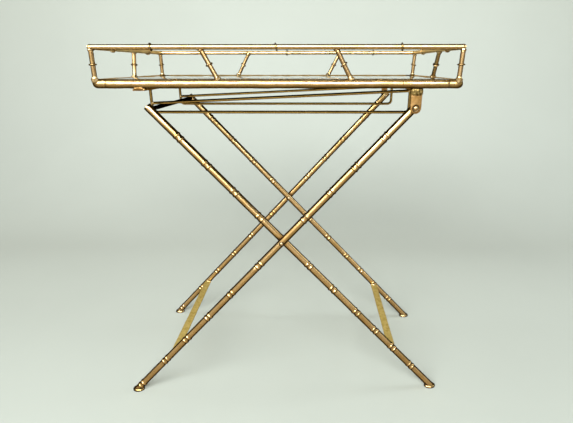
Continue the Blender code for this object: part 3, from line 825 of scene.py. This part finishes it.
def washer(node):
    low = low_corner(node)
    high = high_corner(node)
    half = (high.y - low.y) / 2
    outer = (high.x - low.x) / 2
    hole = 0.0029
    edge = half * 0.4
    profile = [(-half, hole), (-half, outer - edge), (-half + edge, outer), (half - edge, outer),
               (half, outer - edge), (half, hole)]
    item = turn("fine_" + node, middle(node), Y, flat(profile), closed=True)
    publish(item, BAR_BRASS, "dark_brass", "outer_legs", node)


# Legs, feet and stretchers

CUT_LENGTH = 0.0075          # of the slanting cut at a leg's foot
FOOT_SOLDER = (0.0013, 0.0026)          # width and height of the fillet on top of a pad
BRAZE = (0.0066, 0.0024, 0.0024)


def level_ring(base, up, radius, height):
    """The ring where a leaning tube of this radius meets a level plane."""
    first, second = cross_axes(up)
    ring = []
    for index in range(ROUND):
        angle = 2 * pi * index / ROUND
        out = (first * cos(angle) + second * sin(angle)) * radius
        along = (height - base.z - out.z) / up.z
        ring.append(base + up * along + out)
    return ring


def leg(pair, side, up, nodes, seed):
    node = pair + "_leg_" + side
    base = Vector((CROSSING.x, middle(node).y, CROSSING.z))
    cut = low_corner(node).z
    lean = sqrt(1 - up.z * up.z)
    top = (high_corner(node).z - CROSSING.z - LEG_RADIUS * lean) / up.z
    bottom = (cut - CROSSING.z) / up.z
    inner = LEG_RADIUS - LEG_WALL
    outside = bamboo_side(bottom + CUT_LENGTH, top - 0.0004, LEG_RADIUS, nodes, seed)
    outside += flat([(top, LEG_RADIUS - CHAMFER), (top, inner + 0.0002), (top - CHAMFER, inner)])
    inside = flat([(bottom + CUT_LENGTH, inner)])
    rings = [level_ring(base, up, LEG_RADIUS, cut)]
    rings += turned_rings(base, up, outside + inside)
    rings.append(level_ring(base, up, inner, cut))
    item = hammer(skin("fine_" + node, rings, closed=True), LEG_DENTS)
    publish(along_axis(item, up), LEG_BRASS, "aged_brass", pair + "_legs", node)


def foot(pair, side, up):
    """An oval pad, rounded above and flat below, with solder rising round the leg."""
    node = pair + "_foot_" + side
    centre = middle(node)
    low = low_corner(node)
    high = high_corner(node)
    half = (high - low) / 2
    height = high.z - low.z
    lean = up.x / up.z
    rise_long = LEG_RADIUS / up.z
    levels = ((0.0, -0.0008), (0.0002, -0.0003), (0.0008, 0.0), (height * 0.55, 0.0),
              (height * 0.8, -0.0004), (height * 0.95, -0.0010))
    rings = []
    for z, grow in levels:
        at = Vector((centre.x, centre.y, low.z + z))
        rings.append(oval(at, half.x + grow, half.y + grow))
    for step in range(7):
        part = step / 6
        grow = FOOT_SOLDER[0] * (1 - sqrt(1 - (1 - part) ** 2)) + 0.00012
        z = height + FOOT_SOLDER[1] * part
        at = Vector((centre.x + lean * (z - height), centre.y, low.z + z))
        rings.append(oval(at, rise_long + grow, LEG_RADIUS + grow))
    publish(skin("fine_" + node, rings), LEG_BRASS, "aged_brass", pair + "_legs", node)


def oval(centre, half_x, half_y):
    angles = [2 * pi * index / ROUND for index in range(ROUND)]
    return [Vector((centre.x + half_x * cos(a), centre.y + half_y * sin(a), centre.z)) for a in angles]


def stretcher(pair):
    node = pair + "_stretcher"
    body = pair + "_legs"
    node_bar(node, Y, RAW_BRASS, "raw_brass", body, extra=0.0012, waver=0.0003)
    low = low_corner(node)
    high = high_corner(node)
    for number, y in enumerate((low.y, high.y)):
        centre = Vector((middle(node).x, y, middle(node).z))
        lump = blob("braze_" + pair + "_" + str(number + 1), centre, BRAZE, 5 + number, 0.3)
        publish(lump, SOLDER, "raw_brass", body)


def slide_bar():
    low = low_corner("slide_bar")
    high = high_corner("slide_bar")
    centre = middle("slide_bar")
    reach = Vector((0, 0.0012, 0))
    start = Vector((centre.x, low.y, centre.z)) - reach
    end = Vector((centre.x, high.y, centre.z)) + reach
    item = sweep("fine_slide_bar", straight(start, end, 0.004), BAR_RADIUS, 28)
    item = hammer(along_axis(item, Y), BAR_DENTS)
    publish(item, BAR_BRASS, "dark_brass", "inner_legs", "slide_bar")
    for name, at, axis in (("front", start, Y), ("rear", end, -Y)):
        item = collar("solder_bar_" + name, at, axis, BAR_RADIUS, 0.0012, 0.0028, 0.0006, 4.0)
        publish(item, SOLDER, "dark_brass", "inner_legs")


def build_tray():
    frame_tube("tray_tube_front", X, TUBE_BRASS, (STRAP_SEAM, TUBE_SEAM))
    frame_tube("tray_tube_rear", X, FAR_BRASS, (-TUBE_SEAM, -STRAP_SEAM))
    frame_tube("tray_tube_left", Y, FAR_BRASS)
    frame_tube("tray_tube_right", Y, FAR_BRASS)
    for row in ("front", "rear"):
        for side in ("left", "right"):
            frame_elbow(row, side)
    gallery()
    glass_top()
    for side, axis in (("front", X), ("rear", X), ("left", Y), ("right", Y)):
        node_bar("glass_ledge_" + side, axis, RAW_BRASS, "raw_brass", "tray")
    node_bar("cross_strap", Y, EAR_BRASS, "raw_brass", "tray")
    for side in ("front", "rear"):
        tube = middle("tray_tube_" + side)
        centre = Vector((middle("cross_strap").x, tube.y, high_corner("cross_strap").z + 0.0012))
        lump = slab("solder_strap_" + side, centre, (0.0080, 0.0050, 0.0032), tube.y * 90)
        publish(lump, EAR_BRASS, "raw_brass", "tray")
    hinge_strap()
    wire_guides()
    for side in ("front", "rear"):
        domed_rivet("pivot_rivet_" + side, 0.0034, 0.0055, "tray")


def build_base():
    for number, side in enumerate(("front", "rear")):
        leg("outer", side, OUTER_UP, OUTER_NODES, 21 + number)
        foot("outer", side, OUTER_UP)
        leg("inner", side, INNER_UP, INNER_NODES, 31 + number)
        foot("inner", side, INNER_UP)
        domed_rivet("crossing_rivet_" + side, 0.0030, 0.0042, "outer_legs")
        washer("crossing_washer_" + side)
    stretcher("outer")
    stretcher("inner")
    slide_bar()


# Studio

def studio_material(name, colour, reflected):
    """Paper that looks pale to the eye and in the glass, and darker in the brass."""
    material = blank_material(name)
    tree = material.node_tree
    place = add(tree, "ShaderNodeTexCoord").outputs["Object"]
    cloud = spread(tree, noise_value(tree, place, 3.0, 4.0), 0.3, 0.7)
    base = blend_colours(tree, cloud, solid(colour), solid([channel * 0.97 for channel in colour]))
    path = add(tree, "ShaderNodeLightPath")
    seen = calculate(tree, "MAXIMUM", path.outputs["Is Camera Ray"], path.outputs["Is Singular Ray"])
    base = blend_colours(tree, seen, solid(reflected), base)
    surface(tree, add(tree, "ShaderNodeBsdfPrincipled", None, {"Base Color": base, "Roughness": 0.75}))
    return material


def backdrop():
    """A pale floor that curves up into a wall far behind the table."""
    half_width = 4.0
    curve_start = 0.55
    curve_radius = 0.9
    profile = [Vector((0, -3.0, 0)), Vector((0, curve_start, 0))]
    profile += arc(Vector((0, curve_start, curve_radius)), curve_radius, -pi / 2, 0, 24, Y, Z)[1:]
    profile.append(Vector((0, curve_start + curve_radius, 3.5)))
    shape = bmesh.new()
    reach = X * half_width
    rows = [[shape.verts.new(point - reach), shape.verts.new(point + reach)] for point in profile]
    for first, second in zip(rows, rows[1:]):
        shape.faces.new((first[0], first[1], second[1], second[0]))
    mesh = bpy.data.meshes.new("studio_floor")
    shape.to_mesh(mesh)
    shape.free()
    mesh.shade_smooth()
    item = bpy.data.objects.new("studio_floor", mesh)
    bpy.context.scene.collection.objects.link(item)
    mesh.materials.append(studio_material("studio_paper", (0.53, 0.60, 0.56), (0.23, 0.19, 0.12)))


def area_light(name, place, target, size, power, colour):
    light = bpy.data.lights.new(name, "AREA")
    light.shape = "RECTANGLE"
    light.size = size[0]
    light.size_y = size[1]
    light.energy = power
    light.color = colour
    item = bpy.data.objects.new(name, light)
    item.location = place
    item.rotation_euler = (Vector(target) - Vector(place)).to_track_quat("-Z", "Y").to_euler()
    bpy.context.scene.collection.objects.link(item)


def studio_lights():
    target = (0, 0, 0.35)
    area_light("key_light", (-0.42, -1.75, 1.55), target, (2.8, 0.90), 84, (1.0, 0.98, 0.95))
    area_light("fill_light", (-0.4, -2.5, 1.20), target, (3.2, 2.0), 15, (1.0, 0.97, 0.93))
    area_light("right_light", (1.9, 0.1, 1.2), target, (0.5, 1.2), 8, (0.95, 0.98, 1.0))
    area_light("wall_light", (0.0, 0.35, 2.3), (0, 1.45, 1.80), (2.8, 0.6), 24, (1.0, 1.0, 1.0))
    world = bpy.data.worlds.new("studio_world")
    world.use_nodes = True
    tree = world.node_tree
    tree.nodes.clear()
    direction = add(tree, "ShaderNodeTexCoord").outputs["Generated"]
    level = spread(tree, height_of(tree, direction), 0.0, 0.8, 0.56, 0.14)
    background = add(tree, "ShaderNodeBackground", None, {
        "Color": solid((1.0, 0.93, 0.82)), "Strength": level})
    output = add(tree, "ShaderNodeOutputWorld")
    tree.links.new(background.outputs["Background"], output.inputs["Surface"])
    bpy.context.scene.world = world
    bpy.context.scene.view_settings.view_transform = "Standard"


def camera():
    """Just above the glass, looking down at the feet, as the photograph does."""
    data = bpy.data.cameras.new("camera")
    data.sensor_width = 36.0
    data.lens = 26.82
    data.shift_x = -0.035
    data.clip_start = 0.02
    item = bpy.data.objects.new("camera", data)
    item.location = (0.0488, -0.8113, 0.5973)
    item.rotation_euler = (radians(90 - 18.91), radians(0.02), radians(0.525))
    bpy.context.scene.collection.objects.link(item)
    bpy.context.scene.camera = item


build_tray()
build_base()
backdrop()
studio_lights()
camera()
